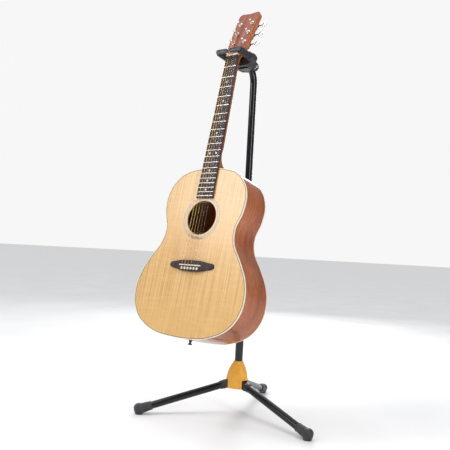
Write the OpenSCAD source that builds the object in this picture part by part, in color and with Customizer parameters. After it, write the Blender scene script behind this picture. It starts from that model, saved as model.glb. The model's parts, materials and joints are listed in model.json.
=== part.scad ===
// Acoustic guitar hanging in a folding floor stand. Millimetres, +Z up, the front faces -Y.

/* [Stand] */
// Radius of the circle through the three foot soles
foot_circle_r = 300; // [290:1:310]
// Turn of the tripod about the shaft, seen from above
base_turn = 16; // [0:1:20]
// Height of the hub's top above the floor
hub_top = 165; // [163:1:168]
// Outer radius of the lower shaft tube
lower_r = 12.5; // [12.4:0.1:12.5]
// Outer radius of the upper shaft tube
upper_r = 11; // [10.9:0.1:11]
// Height at which the upper tube starts to bend forward
bend_z = 1042; // [1040:1:1044]
// Bottom height of the clutch
clutch_z = 480; // [470:1:490]
// Height of the backrest's cross bar
rest_z = 346; // [344:1:348]

/* [Yoke] */
// Distance between the two arm axes
arm_pitch = 75; // [75:0.5:78]
// Rise of the arms with a guitar in the yoke
arm_tilt = 5; // [4:0.5:5]
// Outer radius of the foam sleeves on the arms
sleeve_r = 10.5; // [10:0.1:10.5]

/* [Guitar] */
// Distance from the nut to the saddle
scale_len = 648; // [640:1:650]
// Lean of the neck from the vertical
neck_lean = 12.5; // [12.5:0.1:12.6]
// Backward pitch of the headstock from the neck
head_pitch = 14; // [13:0.5:14]
// Length of the body
body_len = 490; // [485:1:492]
// Depth of the body at the neck end
depth_neck = 100; // [98:1:100]
// Depth of the body at the tail end
depth_tail = 118; // [117:1:118]

/* [Hidden] */

$fn = 64;
eps = 0.01;
run = 0.08;                     // radial clearance of a shaft that turns or slides in its bore
gap = 0.3;                      // least distance between other faces that move past each other

// The row's origin is the middle of the footprint, so the shaft stands off it by this much.
shaft_x = -41.4;
shaft_y = -1.7;

leg_turns = [base_turn - 60, base_turn + 60, base_turn + 180];  // left, right, rear
pin_r = 24;                     // leg pivots' distance from the shaft axis
pin_z = 97;
pin_d = 6;
foot_ball_r = 17;
foot_ball_z = 15;               // under the ball's radius, so the sole is a flat disc
foot_sock_r = 13.4;
leg_r = 11;
leg_wall = 1.5;
leg_span = norm([foot_circle_r - pin_r, pin_z - foot_ball_z]);
leg_drop = atan2(pin_z - foot_ball_z, foot_circle_r - pin_r);
leg_start = 33;                 // where the tube leaves the knuckle, along the leg

hub_bottom = 82;
hub_waist = 105;
hub_r = 37.5;
slot_w = 24.4;
slot_top = 109;
core_top = 112;

lower_end = 490;
lower_bore = 11.3;
upper_start = 440;
bend_r = 62;
bend_a = 45;
bend_tail = 11;

// Yoke pivot, on the axis of the tube's straight end
pivot_s = 5;
pivot_y = -(bend_r * (1 - cos(bend_a)) + pivot_s * sin(bend_a));
pivot_z = bend_z + bend_r * sin(bend_a) + pivot_s * cos(bend_a);
rivets = [[-14, 4], [-8, -9]];  // on each cheek, [y, z] from the pivot
arm_z = 4;                      // arm axis above the pivot, in the cradle's own frame
arm_root = -72;
arm_tip = -118;
gate_t = 8;
gate_len = 35;
gate_pivot_r = 7;
gate_tip_r = 6;

pad_r = 14;

// Guitar: its own frame has +Z along the neck to the headstock and -Y to the strings.
guitar_y = -118;
guitar_z = 1093.6;              // the headstock's flare hangs 0.4 above the sleeves
board_t = 6;                    // fingerboard thickness
joint_z = -scale_len * (1 - pow(2, -14 / 12));      // 14th fret meets the body
nut_t = 5;
head_t = 15;
veneer_t = 1.5;
head_len = 178;
back_lean = neck_lean - atan2(depth_tail - depth_neck, body_len);
// Where the back's plane meets the neck joint, then where it stands at the cross bar's height
back_y = guitar_y + depth_neck * cos(neck_lean) + joint_z * sin(neck_lean);
back_z = guitar_z - depth_neck * sin(neck_lean) + joint_z * cos(neck_lean);
rest_y = back_y - (back_z - rest_z) * tan(back_lean) + (pad_r + 0.4) / cos(back_lean);
plate_t = 3;
rim_t = 2.2;
bind_w = 2;
bind_h = 5;
hole_z = joint_z - 148;
hole_r = 50;
tuner_s = [52, 91, 130];        // tuner rows, up the headstock
tuner_x = [19.5, 20.5, 21.5];
string_r = [0.67, 0.53, 0.41, 0.31, 0.2, 0.16];
post_r = 3;
housing_t = 11;
nut_spread = 36;
saddle_spread = 54;
string_nut_y = -8.3;
string_saddle_y = -12.2;

// ---------- helpers ----------

module placed() translate([shaft_x, shaft_y, 0]) children();

module ring(r_out, r_in, h) {
    difference() {
        cylinder(r = r_out, h = h);
        translate([0, 0, -1]) cylinder(r = r_in, h = h + 2);
    }
}

// A bar from a to b of radius r.
module rod(a, b, r, fn = 32) {
    v = b - a;
    translate(a) rotate([0, acos(v[2] / norm(v)), atan2(v[1], v[0])]) cylinder(r = r, h = norm(v), $fn = fn);
}

// A prism whose section lies in the YZ plane.
module yz_prism(pts, x0, x1) {
    translate([x0, 0, 0]) rotate([90, 0, 90]) linear_extrude(x1 - x0) polygon(pts);
}

// A prism whose section lies in the XZ plane, from depth y0 to y1.
module xz_prism(pts, y0, y1) {
    translate([0, y1, 0]) rotate([90, 0, 0]) linear_extrude(y1 - y0) polygon(pts);
}

// A round wire swept along a coil about Z.
module coil(r, wire, turns, h, steps = 12, sides = 8) {
    n = turns * steps;
    c = [for (i = [0:n]) [r * cos(360 * i / steps), r * sin(360 * i / steps), h * i / n]];
    pts = [for (i = [0:n]) for (k = [0:sides - 1])
        let (a = 360 * i / steps, q = 360 * k / sides)
        c[i] + wire * [cos(q) * cos(a), cos(q) * sin(a), sin(q)]];
    walls = [for (i = [0:n - 1]) for (k = [0:sides - 1])
        let (a = i * sides + k, b = i * sides + (k + 1) % sides)
        [a, a + sides, b + sides, b]];
    polyhedron(pts, concat([[for (k = [0:sides - 1]) k]], walls,
        [[for (k = [0:sides - 1]) n * sides + sides - 1 - k]]), convexity = 6);
}

// Points of a smooth curve through the given ones.
function spline_at(p, i, u) =
    let (n = len(p) - 1, a = p[max(i - 1, 0)], b = p[i], c = p[i + 1], d = p[min(i + 2, n)])
    0.5 * (2 * b + (c - a) * u + (2 * a - 5 * b + 4 * c - d) * u * u + (3 * b - a - 3 * c + d) * u * u * u);
function spline(p, k) = [for (i = [0:len(p) - 2]) for (j = [0:k - 1]) spline_at(p, i, j / k), p[len(p) - 1]];
function mirrored(half) = concat(half, [for (i = [len(half) - 2:-1:1]) [-half[i][0], half[i][1]]]);
// A closed clockwise outline moved inward by d.
function inset(p, d) = [for (i = [0:len(p) - 1])
    let (n = len(p), t = p[(i + 1) % n] - p[(i + n - 1) % n], v = [t[1], -t[0]] / norm(t)) p[i] + d * v];

// ---------- tripod ----------

module on_leg(i) rotate([0, 0, leg_turns[i]]) children();
module along_leg(i) on_leg(i) translate([0, -pin_r, pin_z]) rotate([leg_drop, 0, 0]) rotate([90, 0, 0]) children();

module hub_outline() {
    c = 19;
    d = 20;
    for (t = leg_turns) rotate(t) translate([0, -d]) circle(r = c);
    polygon([for (t = leg_turns) for (s = [-60, 60]) [d * sin(t) + c * sin(t + s), -d * cos(t) - c * cos(t + s)]]);
}

module hub_bell() {
    rise = hub_top - hub_waist;
    rotate_extrude($fn = 96) polygon(concat([[0, hub_bottom], [hub_r - 1, hub_bottom]],
        [for (a = [0:10:90]) [14 + (hub_r - 14) * pow(cos(a), 0.9), hub_waist + (rise - 2) * sin(a)]],
        [[13.4, hub_top], [0, hub_top]]));
}

module hub_shell() {
    color("#f2ad3a") difference() {
        intersection() {
            hub_bell();
            translate([0, 0, hub_bottom - 1]) linear_extrude(hub_top) hub_outline();
        }
        translate([0, 0, core_top]) cylinder(r = lower_r + 0.1, h = hub_top);
        translate([0, 0, hub_bottom - 1]) cylinder(r = 11.5, h = hub_top - hub_bottom);
        for (i = [0:2]) on_leg(i) {
            translate([-slot_w / 2, -60, hub_bottom - 1]) cube([slot_w, 60 - 11.4, slot_top - hub_bottom + 1]);
            translate([-30, -pin_r, pin_z]) rotate([0, 90, 0]) cylinder(r = pin_d / 2, h = 60, $fn = 32);
        }
    }
}

module hub_core() {
    color("#1a1a1c") union() {
        translate([0, 0, hub_bottom + 1]) cylinder(r = 11.3, h = core_top - hub_bottom - 1);
        translate([0, 0, core_top - 1]) cylinder(r = lower_bore - run, h = 26);
        translate([0, 0, hub_bottom - 4]) cylinder(r = 6, h = 6, $fn = 6);
    }
}

module leg_pins() {
    color("silver") for (i = [0:2]) on_leg(i)
        translate([-17, -pin_r, pin_z]) rotate([0, 90, 0]) cylinder(r = pin_d / 2 - run, h = 34, $fn = 32);
}

module knuckle(i) {
    w = slot_w - 1;
    color("#1a1a1c") along_leg(i) difference() {
        union() {
            translate([-w / 2, 0, 0]) rotate([0, 90, 0]) cylinder(r = 11, h = w);
            translate([-w / 2, -11, 0]) cube([w, 22, leg_start - 6]);
            translate([0, 0, leg_start - 8]) cylinder(r = 13, h = 8);
            translate([0, 0, leg_start - 1]) cylinder(r = leg_r - leg_wall - run, h = 26);
        }
        translate([-w, 0, 0]) rotate([0, 90, 0]) cylinder(r = pin_d / 2, h = 2 * w, $fn = 32);
    }
}

module leg(i) {
    color("#141416") along_leg(i) translate([0, 0, leg_start]) ring(leg_r, leg_r - leg_wall, leg_span - leg_start - 6);
}

module foot(i) {
    color("#222226") difference() {
        union() {
            on_leg(i) translate([0, -foot_circle_r, foot_ball_z]) sphere(r = foot_ball_r);
            along_leg(i) translate([0, 0, leg_span - 38]) cylinder(r = foot_sock_r, h = 38);
        }
        along_leg(i) translate([0, 0, leg_span - 60]) cylinder(r = leg_r, h = 54);
        translate([-500, -500, -40]) cube([1000, 1000, 40]);
    }
}

// ---------- shaft ----------

module lower_tube() {
    color("#141416") translate([0, 0, core_top]) ring(lower_r, lower_bore, lower_end - core_top);
}

module octagon(r, h) rotate([0, 0, 15]) cylinder(r = r, h = h, $fn = 8);

module clutch_base() {
    color("#1c1c20") translate([0, 0, clutch_z]) difference() {
        union() {
            cylinder(r1 = 15, r2 = 20.5, h = 9);
            translate([0, 0, 9]) cylinder(r = 20.5, h = 3);
        }
        translate([0, 0, -1]) cylinder(r = lower_r + 0.1, h = 11.1);
        translate([0, 0, 10]) cylinder(r = upper_r + run, h = 20);
    }
}

module clutch_collet() {
    color("#303034") translate([0, 0, clutch_z + 12]) difference() {
        union() {
            cylinder(r = 15.5, h = 3);
            cylinder(r1 = 14, r2 = 12.6, h = 30);
        }
        translate([0, 0, -1]) cylinder(r = upper_r + run, h = 40);
        for (a = [0:60:179]) rotate([0, 0, a]) translate([-30, -0.8, 6]) cube([60, 1.6, 40]);
    }
}

module clutch_sleeve() {
    h = 50;
    color("#1c1c20") translate([0, 0, clutch_z + 12.3]) difference() {
        union() {
            intersection() {
                octagon(22, h);
                cylinder(r = 21, h = h);
            }
            translate([0, 0, h]) cylinder(r1 = 20.5, r2 = 13.5, h = 8);
        }
        translate([0, 0, -1]) cylinder(r = 17.5, h = h - 2);
        cylinder(r = upper_r + run, h = h + 20);
    }
}

module backrest_collar() {
    color("#1c1c20") difference() {
        union() {
            translate([0, 0, rest_z - 13]) cylinder(r = 16.5, h = 26);
            for (z = [-13, 7]) translate([0, 0, rest_z + z]) cylinder(r = 18, h = 6);
            translate([0, -14, rest_z]) rotate([90, 0, 0]) cylinder(r = 10.5, h = 14);
            translate([-7, 14, rest_z - 9]) cube([14, 13, 18]);
        }
        translate([0, 0, rest_z - 20]) cylinder(r = lower_r + run, h = 40);
        translate([0, -20, rest_z]) rotate([90, 0, 0]) cylinder(r = 7.6, h = 20);
        translate([-1, 10, rest_z - 20]) cube([2, 30, 40]);
        translate([-20, 21, rest_z]) rotate([0, 90, 0]) cylinder(r = 2.6, h = 40, $fn = 32);
    }
}

module backrest_screw() {
    color("silver") translate([-9, 21, rest_z]) rotate([0, 90, 0]) {
        cylinder(r = 2.5, h = 20, $fn = 32);
        translate([0, 0, -3]) cylinder(r = 4.4, h = 4.8, $fn = 32);
        translate([0, 0, 16.2]) cylinder(r = 4.6, h = 4, $fn = 6);
    }
}

module backrest_arm() {
    color("#141416") union() {
        rod([0, -20.2, rest_z], [0, rest_y + 18, rest_z], 7.5, 48);
        rod([0, rest_y + 19, rest_z], [0, rest_y, rest_z], 4.4);
        rod([-40, rest_y, rest_z], [40, rest_y, rest_z], 6, 48);
    }
}

module backrest_pads() {
    pad_in = 5;
    pad_out = 44;
    e = 5;                      // rounding of the ends
    section = concat([[0, pad_in], [pad_r - 2, pad_in]],
        [for (a = [-60:30:0]) [pad_r - 3 + 3 * cos(a), pad_in + 3 + 3 * sin(a)]],
        [for (a = [0:15:90]) [pad_r - e + e * cos(a), pad_out - e + e * sin(a)]], [[0, pad_out]]);
    color("#26262b") for (s = [-1, 1]) translate([0, rest_y, rest_z]) rotate([0, 90 * s, 0]) difference() {
        rotate_extrude() polygon(section);
        translate([0, 0, -1]) cylinder(r = 6.05, h = 41.1);
    }
}

// The upper tube's path as a solid bar of radius r, longer at both ends by extra.
module bent_bar(r, extra = 0) {
    translate([0, 0, upper_start - extra]) cylinder(r = r, h = bend_z - upper_start + extra);
    translate([0, -bend_r, bend_z]) rotate([90, 0, 90]) {
        rotate_extrude(angle = bend_a, $fn = 96) translate([bend_r, 0]) circle(r = r);
        rotate([0, 0, bend_a]) translate([bend_r, 0, 0]) rotate([-90, 0, 0]) cylinder(r = r, h = bend_tail + extra);
    }
}

module upper_tube() {
    color("#141416") difference() {
        bent_bar(upper_r);
        bent_bar(upper_r - 1.5, 5);
        at_pivot() translate([-30, 0, 0]) rotate([0, 90, 0]) cylinder(r = pin_d / 2, h = 60, $fn = 32);
    }
}

// ---------- yoke ----------

module at_pivot() translate([0, pivot_y, pivot_z]) children();
// The cradle's own frame: the arms run level along -Y from the pivot.
module in_cradle() at_pivot() rotate([-arm_tilt, 0, 0]) children();

module yoke_bracket() {
    side = [[13, -10], [13, 4], [6, 9], [-6, 9], [-38, -2], [-38, -15], [0, -15]];
    color("#101012") at_pivot() difference() {
        union() {
            yz_prism(side, -14.4, -11.3);
            yz_prism(side, 11.3, 14.4);
            translate([-11.4, -38, -15]) cube([22.8, 32, 3]);
        }
        translate([-30, 0, 0]) rotate([0, 90, 0]) cylinder(r = pin_d / 2, h = 60, $fn = 32);
    }
}

module yoke_pivot_screw() {
    color("silver") at_pivot() union() {
        translate([-24, 0, 0]) rotate([0, 90, 0]) cylinder(r = pin_d / 2 - run, h = 48, $fn = 32);
        for (s = [-1, 1]) translate([s * 23.4, 0, 0]) rotate([0, 90 * s, 0])
            cylinder(r1 = 4.5, r2 = 3.4, h = 2.2, $fn = 32);
    }
}

module yoke_spring() {
    color("silver") at_pivot() translate([0, -28, -11.3]) coil(4, 0.6, 4, 6.3, 12, 6);
}

module yoke_cradle() {
    cheek = [[9, -6], [9, 7], [2, 12], [-42, 14], [-50, 14], [-50, -8], [-40, -17], [-6, -17], [4, -12]];
    wall = [[-46, -2], [-46, 17], [-36, 15], [-14, 20], [14, 20],
            [36, 15], [46, 17], [46, -2], [30, -12], [-30, -12]];
    color("#2b2b31") in_cradle() difference() {
        union() {
            yz_prism(cheek, -23, -15.4);
            yz_prism(cheek, 15.4, 23);
            yz_prism([[-42, -8], [-42, 14], [-50, 14], [-50, -17], [-44, -17]], -16, 16);
            xz_prism(wall, -57, -46);
            // tongue the spring pushes up on
            translate([-9, -44, -6]) cube([18, 24, 2.6]);
            for (s = [-1, 1]) translate([s * arm_pitch / 2, -44, arm_z]) rotate([90, 0, 0]) {
                cylinder(r = 13, h = -44 - arm_root);
                cylinder(r = 6, h = -44 - arm_tip);
                translate([0, 0, -44 - arm_tip - 3.6]) cylinder(r = sleeve_r, h = 3.6);
            }
        }
        translate([-40, 0, 0]) rotate([0, 90, 0]) cylinder(r = pin_d / 2, h = 80, $fn = 32);
        for (s = [-1, 1]) {
            translate([s * arm_pitch / 2, arm_tip + 10, arm_z]) rotate([90, 0, 0])
                cylinder(r = 2.2, h = 30, $fn = 32);
            for (p = rivets) translate([s * 19, p[0], p[1]]) rotate([0, 90 * s, 0])
                cylinder(r = 2, h = 6, $fn = 32);
        }
    }
}

module yoke_rivets() {
    color("silver") in_cradle() for (s = [-1, 1]) {
        for (p = rivets) translate([s * 19.2, p[0], p[1]]) rotate([0, 90 * s, 0]) {
            cylinder(r = 1.95, h = 4, $fn = 32);
            translate([0, 0, 3.9]) cylinder(r1 = 3.6, r2 = 2.4, h = 1.4, $fn = 32);
        }
        translate([s * arm_pitch / 2, arm_tip + 9, arm_z]) rotate([90, 0, 0]) {
            cylinder(r = 2.2 - run, h = 9 + gate_t, $fn = 32);
            translate([0, 0, 9 + gate_t - 1.6]) cylinder(r = 3.6, h = 1.8, $fn = 32);
        }
    }
}

module yoke_sleeves() {
    color("#222226") in_cradle() for (s = [-1, 1])
        translate([s * arm_pitch / 2, arm_root - 0.1, arm_z]) rotate([90, 0, 0])
            ring(sleeve_r, 6.05, arm_root - arm_tip - 3.8);
}

// Two round ends of radii a and b, d apart along +X, joined by tangents.
function link_outline(d, a, b) = let (q = acos((a - b) / d)) concat(
    [for (i = [0:18]) let (t = q + (360 - 2 * q) * i / 18) a * [cos(t), sin(t)]],
    [for (i = [0:18]) let (t = -q + 2 * q * i / 18) [d + b * cos(t), b * sin(t)]]);

// A gate in its closed place, reaching from its pivot towards the middle.
module gate(s) {
    shape = link_outline(gate_len - gate_tip_r, gate_pivot_r, gate_tip_r);
    color("#34343c") in_cradle()
    translate([s * arm_pitch / 2, arm_tip - 0.4, arm_z]) rotate([90, 0, 0]) difference() {
        linear_extrude(gate_t) polygon([for (p = shape) [-s * p[0], p[1]]]);
        translate([0, 0, -1]) cylinder(r = 2.2, h = 20, $fn = 32);
        translate([0, 0, gate_t - 2.4]) cylinder(r = 4, h = 3, $fn = 32);
    }
}

// ---------- guitar ----------

module in_guitar() translate([0, guitar_y, guitar_z]) rotate([-neck_lean, 0, 0]) children();
// The headstock's own frame: +Z up its face from behind the nut, +Y to its back.
module in_head() in_guitar() translate([0, 0, nut_t]) rotate([-head_pitch, 0, 0]) children();

// Half outline of the body: [half width, distance from the neck end].
body_half = [[0, 0], [48, 1.5], [96, 16], [129, 50], [142, 92], [137, 136], [123, 178], [129, 222],
    [158, 268], [183, 315], [193, 362], [184, 412], [150, 455], [84, 483], [0, 490]];
body_outline = [for (p = mirrored(spline(body_half, 5))) [p[0], joint_z - p[1] * body_len / 490]];

// A slab lying under the back's outer face, from a to b inward of it.
module back_slab(a, b) {
    over = 8;
    slope = (depth_tail - depth_neck) / body_len;
    y0 = depth_neck - over * slope;
    y1 = depth_tail + over * slope;
    yz_prism([[y0 - b, joint_z + over], [y0 - a, joint_z + over],
        [y1 - a, joint_z - body_len - over], [y1 - b, joint_z - body_len - over]], -220, 220);
}

module body_ring(d_out, d_in, y0, y1) {
    difference() {
        xz_prism(inset(body_outline, d_out), y0, y1);
        xz_prism(inset(body_outline, d_in), y0 - 1, y1 + 1);
    }
}

module soundboard() {
    color("#e3b878") in_guitar() difference() {
        xz_prism(inset(body_outline, bind_w), 0, plate_t);
        translate([0, 10, hole_z]) rotate([90, 0, 0]) cylinder(r = hole_r, h = 20, $fn = 96);
        // the rosette's channel
        translate([0, 1, hole_z]) rotate([90, 0, 0]) ring(hole_r + 14, hole_r + 6, 2);
    }
}

module rosette() {
    color("#3a2418") in_guitar() translate([0, 1, hole_z]) rotate([90, 0, 0]) ring(hole_r + 14, hole_r + 6, 1);
}

module body_back() {
    color("#8a3f20") in_guitar() intersection() {
        xz_prism(inset(body_outline, bind_w), 0, 140);
        back_slab(0, plate_t);
    }
}

module body_sides() {
    color("#8a3f20") in_guitar() difference() {
        body_ring(0, rim_t, bind_h, 140);
        back_slab(-50, bind_h);
    }
}

module body_binding() {
    color("#efe6cf") in_guitar() {
        body_ring(0, bind_w, 0, bind_h);
        intersection() {
            body_ring(0, bind_w, 0, 140);
            back_slab(0, bind_h);
        }
    }
}

// Kerfed linings along both edges, and the blocks at the neck and the tail.
module body_frame() {
    lining = 6;
    color("#c99a62") in_guitar() {
        body_ring(rim_t, rim_t + lining, plate_t, plate_t + 12);
        intersection() {
            body_ring(rim_t, rim_t + lining, 0, 140);
            back_slab(plate_t, plate_t + 12);
        }
        intersection() {
            xz_prism(inset(body_outline, 9), plate_t + 12.2, 140);
            back_slab(plate_t + 12.2, 140);
            union() {
                translate([-32, 0, joint_z - 44]) cube([64, 140, 60]);
                translate([-35, 0, joint_z - body_len]) cube([70, 140, 30]);
            }
        }
    }
}

// The crossed braces under the soundboard and the ladder braces of the back.
module body_braces() {
    brace_w = 7;
    brace_h = 14;
    cross_z = hole_z - 92;
    color("#dcb684") in_guitar() intersection() {
        xz_prism(inset(body_outline, 12), plate_t, 140);
        union() {
            for (a = [-46, 46]) translate([0, plate_t, cross_z]) rotate([0, a, 0])
                translate([-brace_w / 2, 0, -230]) cube([brace_w, brace_h, 460]);
            translate([-150, plate_t, joint_z - 70]) cube([300, brace_h, 12]);
            translate([-88, plate_t, -scale_len - 20]) cube([176, 3, 36]);
            intersection() {
                back_slab(plate_t, plate_t + 12);
                union() for (t = [75, 175, 290, 400]) translate([-190, 60, joint_z - t]) cube([380, 80, 8]);
            }
        }
    }
}

// Half outline of the headstock: [half width, distance up from the nut's back].
head_half = concat([[22, 0]],
    spline([[22, 0], [23.2, 7], [27.2, 14], [31.2, 20.5], [33.4, 28], [34.2, 37]], 4),
    [[36.2, 95], [38, 150]], [for (a = [0:15:90]) [27 + 11.4 * cos(a), 163 + 13 * sin(a)]],
    [[14, 174.5], [0, 173]]);
head_outline = mirrored(concat([[0, 0]], head_half));

module d_section(w, t) intersection() {
    scale([w / 2, t]) circle(r = 1, $fn = 32);
    translate([-w, -t * 2]) square([2 * w, t * 2]);
}

module neck() {
    w_nut = 44;
    w_end = 55;
    heel_w = 30;
    color("#9a4a26") in_guitar() difference() {
        union() {
            // shaft, half round behind the fingerboard
            hull() {
                translate([0, 0, -0.2]) rotate([0, 0, 180]) linear_extrude(0.2) d_section(w_nut, 15);
                translate([0, 0, joint_z + 0.2]) rotate([0, 0, 180]) linear_extrude(0.2) d_section(w_end, 17);
            }
            // heel
            hull() {
                translate([0, 0, joint_z + 0.2]) rotate([0, 0, 180]) linear_extrude(48) d_section(w_end - 4, 16);
                translate([-heel_w / 2, 90, joint_z + 0.2]) cube([heel_w, 8, 8]);
            }
            // throat under the nut
            hull() {
                translate([0, 0, -26]) rotate([0, 0, 180]) linear_extrude(1) d_section(w_nut, 15);
                translate([-21.5, 0, -0.5]) cube([43, 15.5, nut_t + 0.5]);
            }
            translate([0, 0, nut_t]) rotate([-head_pitch, 0, 0]) difference() {
                xz_prism(head_outline, veneer_t, head_t);
                each_tuner() translate([0, 0, -30]) cylinder(r = 4.1, h = 60, $fn = 32);
            }
        }
        translate([-40, -20, -400]) cube([80, 20, 400 + nut_t]);
    }
}

module headstock_veneer() {
    color("#a5512b") in_head() difference() {
        xz_prism(head_outline, 0, veneer_t);
        each_tuner() translate([0, 0, -30]) cylinder(r = 4.1, h = 60, $fn = 32);
        // the veneer starts a hair above the nut
        translate([-40, -1, -6]) cube([80, 8, 6.4]);
    }
}

function fret_z(n) = -scale_len * (1 - pow(2, -n / 12));
function board_half(z) = 22 + 6 * z / fret_z(14);

module fingerboard() {
    end_z = fret_z(20) - 6;
    color("#33231e") in_guitar() difference() {
        xz_prism([[-22, -eps], [22, -eps], [board_half(end_z), end_z], [-board_half(end_z), end_z]], -board_t, 0);
        dots(-0.6);
    }
}

// Cylinders at the marker places, standing proud of the board's face by up.
module dots(up) {
    marks = [for (n = [3, 5, 7, 9, 15, 17, 19]) [0, n], [-12, 12], [12, 12]];
    for (m = marks) translate([m[0], -board_t + 1.2, (fret_z(m[1]) + fret_z(m[1] - 1)) / 2])
        rotate([90, 0, 0]) cylinder(r = 3.2, h = 1.2 + (up < 0 ? 1 : up), $fn = 32);
}

module position_dots() color("#f4f0e4") in_guitar() dots(0);

module frets() {
    color("silver") in_guitar() for (n = [1:20]) difference() {
        rod([-board_half(fret_z(n)) + 0.3, -board_t, fret_z(n)], [board_half(fret_z(n)) - 0.3, -board_t, fret_z(n)], 1.1, 24);
        translate([-40, -board_t, fret_z(n) - 3]) cube([80, 3, 6]);
    }
}

module nut_and_saddle() {
    color("#f4f0e4") in_guitar() {
        xz_prism([[-22, 0.1], [22, 0.1], [22, nut_t], [-22, nut_t]], -8.4, 0);
        // the saddle, with its back edge chamfered clear of the strings
        translate([-36.9, 0, -scale_len]) rotate([90, 0, 90]) linear_extrude(73.8)
            polygon([[-4, -1.7], [-10.4, -1.7], [-12, 0], [-12, 1.7], [-4, 1.7]]);
    }
}

module bridge() {
    wing = [[-78, -12], [-72, -15], [-40, -16], [40, -16], [72, -15], [78, -12],
            [78, 8], [72, 11], [40, 14], [-40, 14], [-72, 11], [-78, 8]];
    color("#2e1f1a") in_guitar() translate([0, 0, -scale_len]) difference() {
        union() {
            xz_prism(wing, -4.5, 0);
            xz_prism([[-44, -15], [44, -15], [40, 12], [-40, 12]], -9, -4);
        }
        translate([-37, -12, -1.8]) cube([74, 8, 3.6]);
        for (i = [0:5]) translate([string_x(i, saddle_spread), 1, -9]) rotate([90, 0, 0])
            cylinder(r = 2.6, h = 20, $fn = 32);
    }
}

function string_x(i, spread) = spread * (i / 5 - 0.5);

module bridge_pins() {
    color("#efe6cf") in_guitar() for (i = [0:5])
        translate([string_x(i, saddle_spread), 0, -scale_len - 9]) rotate([90, 0, 0]) {
            cylinder(r = 2.5, h = 9.1, $fn = 32);
            translate([0, 0, 9.1]) cylinder(r1 = 3.6, r2 = 2.2, h = 3, $fn = 32);
        }
}

// Strings: bass on the left as seen from the front. Each runs from its pin over saddle and nut to its post.
module strings() {
    color("#c89a5a") for (i = [0:5]) {
        r = string_r[i];
        row = i < 3 ? i : 5 - i;
        side = i < 3 ? -1 : 1;
        post_x = side * (tuner_x[row] - post_r - 0.35 - r);
        at_saddle = [string_x(i, saddle_spread), string_saddle_y - r, -scale_len];
        at_nut = [string_x(i, nut_spread), string_nut_y - r - 0.3, 0];
        in_guitar() union() {
            rod([at_saddle[0], -9.8, -scale_len - 5.6], at_saddle, r, 12);
            rod(at_saddle, at_nut, r, 12);
            rod(at_nut, at_nut + [0, 0, nut_t], r, 12);
            rod(at_nut + [0, 0, nut_t], post_point(post_x, row), r, 12);
        }
    }
}

// Where a string meets its post: a point of the headstock's frame, in the guitar's.
function post_point(x, row) = let (y = -7, s = tuner_s[row])
    [x, y * cos(head_pitch) + s * sin(head_pitch), nut_t - y * sin(head_pitch) + s * cos(head_pitch)];

module end_pin() {
    color("#1a1a1c") in_guitar() translate([0, 58, joint_z - body_len - 0.2]) rotate([180, 0, 0]) {
        cylinder(r = 5, h = 3, $fn = 32);
        translate([0, 0, 2.9]) cylinder(r1 = 3.5, r2 = 7, h = 7, $fn = 32);
        translate([0, 0, 9.8]) cylinder(r = 7, h = 2.5, $fn = 32);
    }
}

module each_tuner() for (i = [0:2]) for (s = [-1, 1])
    translate([s * tuner_x[i], 0, tuner_s[i]]) rotate([90, 0, 0]) children();

module tuner_bushings() {
    color("silver") in_head() each_tuner() difference() {
        union() {
            cylinder(r = 7.4, h = 1.4);
            translate([0, 0, 1.3]) cylinder(r = 5.2, h = 2, $fn = 6);
        }
        translate([0, 0, -1]) cylinder(r = post_r + run, h = 10);
    }
}

// Posts and knobs 1 to 3 are on the left from the nut up, 4 to 6 on the right from the top down.
function tuner_row(k) = k <= 3 ? k - 1 : 6 - k;
function tuner_side(k) = k <= 3 ? -1 : 1;

module tuner_post(k) {
    i = tuner_row(k);
    color("silver") in_head() translate([tuner_side(k) * tuner_x[i], 0, tuner_s[i]]) rotate([90, 0, 0]) union() {
        translate([0, 0, -head_t + 0.3]) cylinder(r = post_r, h = head_t + 4.7);
        translate([0, 0, 4.9]) cylinder(r1 = post_r, r2 = post_r - 0.6, h = 1.6);
        translate([0, 0, 6.4]) cylinder(r = post_r - 0.6, h = 2);
        translate([0, 0, 8.3]) cylinder(r1 = post_r - 0.6, r2 = post_r, h = 1.6);
        translate([0, 0, 9.8]) cylinder(r = post_r, h = 3);
    }
}

module tuner_housings() {
    color("#1c1c20") in_head() for (i = [0:2]) for (s = [-1, 1])
        translate([s * tuner_x[i], head_t + 0.1, tuner_s[i]]) difference() {
        union() {
            translate([-8, 0, -10]) cube([16, housing_t, 20]);
            translate([s * 8, housing_t / 2, 5]) rotate([0, 90 * s, 0]) cylinder(r = 4, h = 4, $fn = 32);
        }
        translate([s * 4, housing_t / 2, 5]) rotate([0, 90 * s, 0]) cylinder(r = 2.2 + run, h = 20, $fn = 32);
    }
}

module tuner_knob(k) {
    i = tuner_row(k);
    s = tuner_side(k);
    button_x = 46;
    color("silver") in_head() translate([0, head_t + 0.1 + housing_t / 2, tuner_s[i] + 5]) union() {
        translate([s * (tuner_x[i] + 4.4), 0, 0]) rotate([0, 90 * s, 0])
            cylinder(r = 2.2, h = button_x - tuner_x[i] - 3, $fn = 32);
        translate([s * (button_x - 2), 0, 0]) rotate([0, 90 * s, 0]) cylinder(r1 = 2.8, r2 = 4, h = 4, $fn = 32);
        translate([s * (button_x + 8), 3.5, 0]) rotate([90, 0, 0]) cylinder(r = 8.5, h = 7);
    }
}

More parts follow.
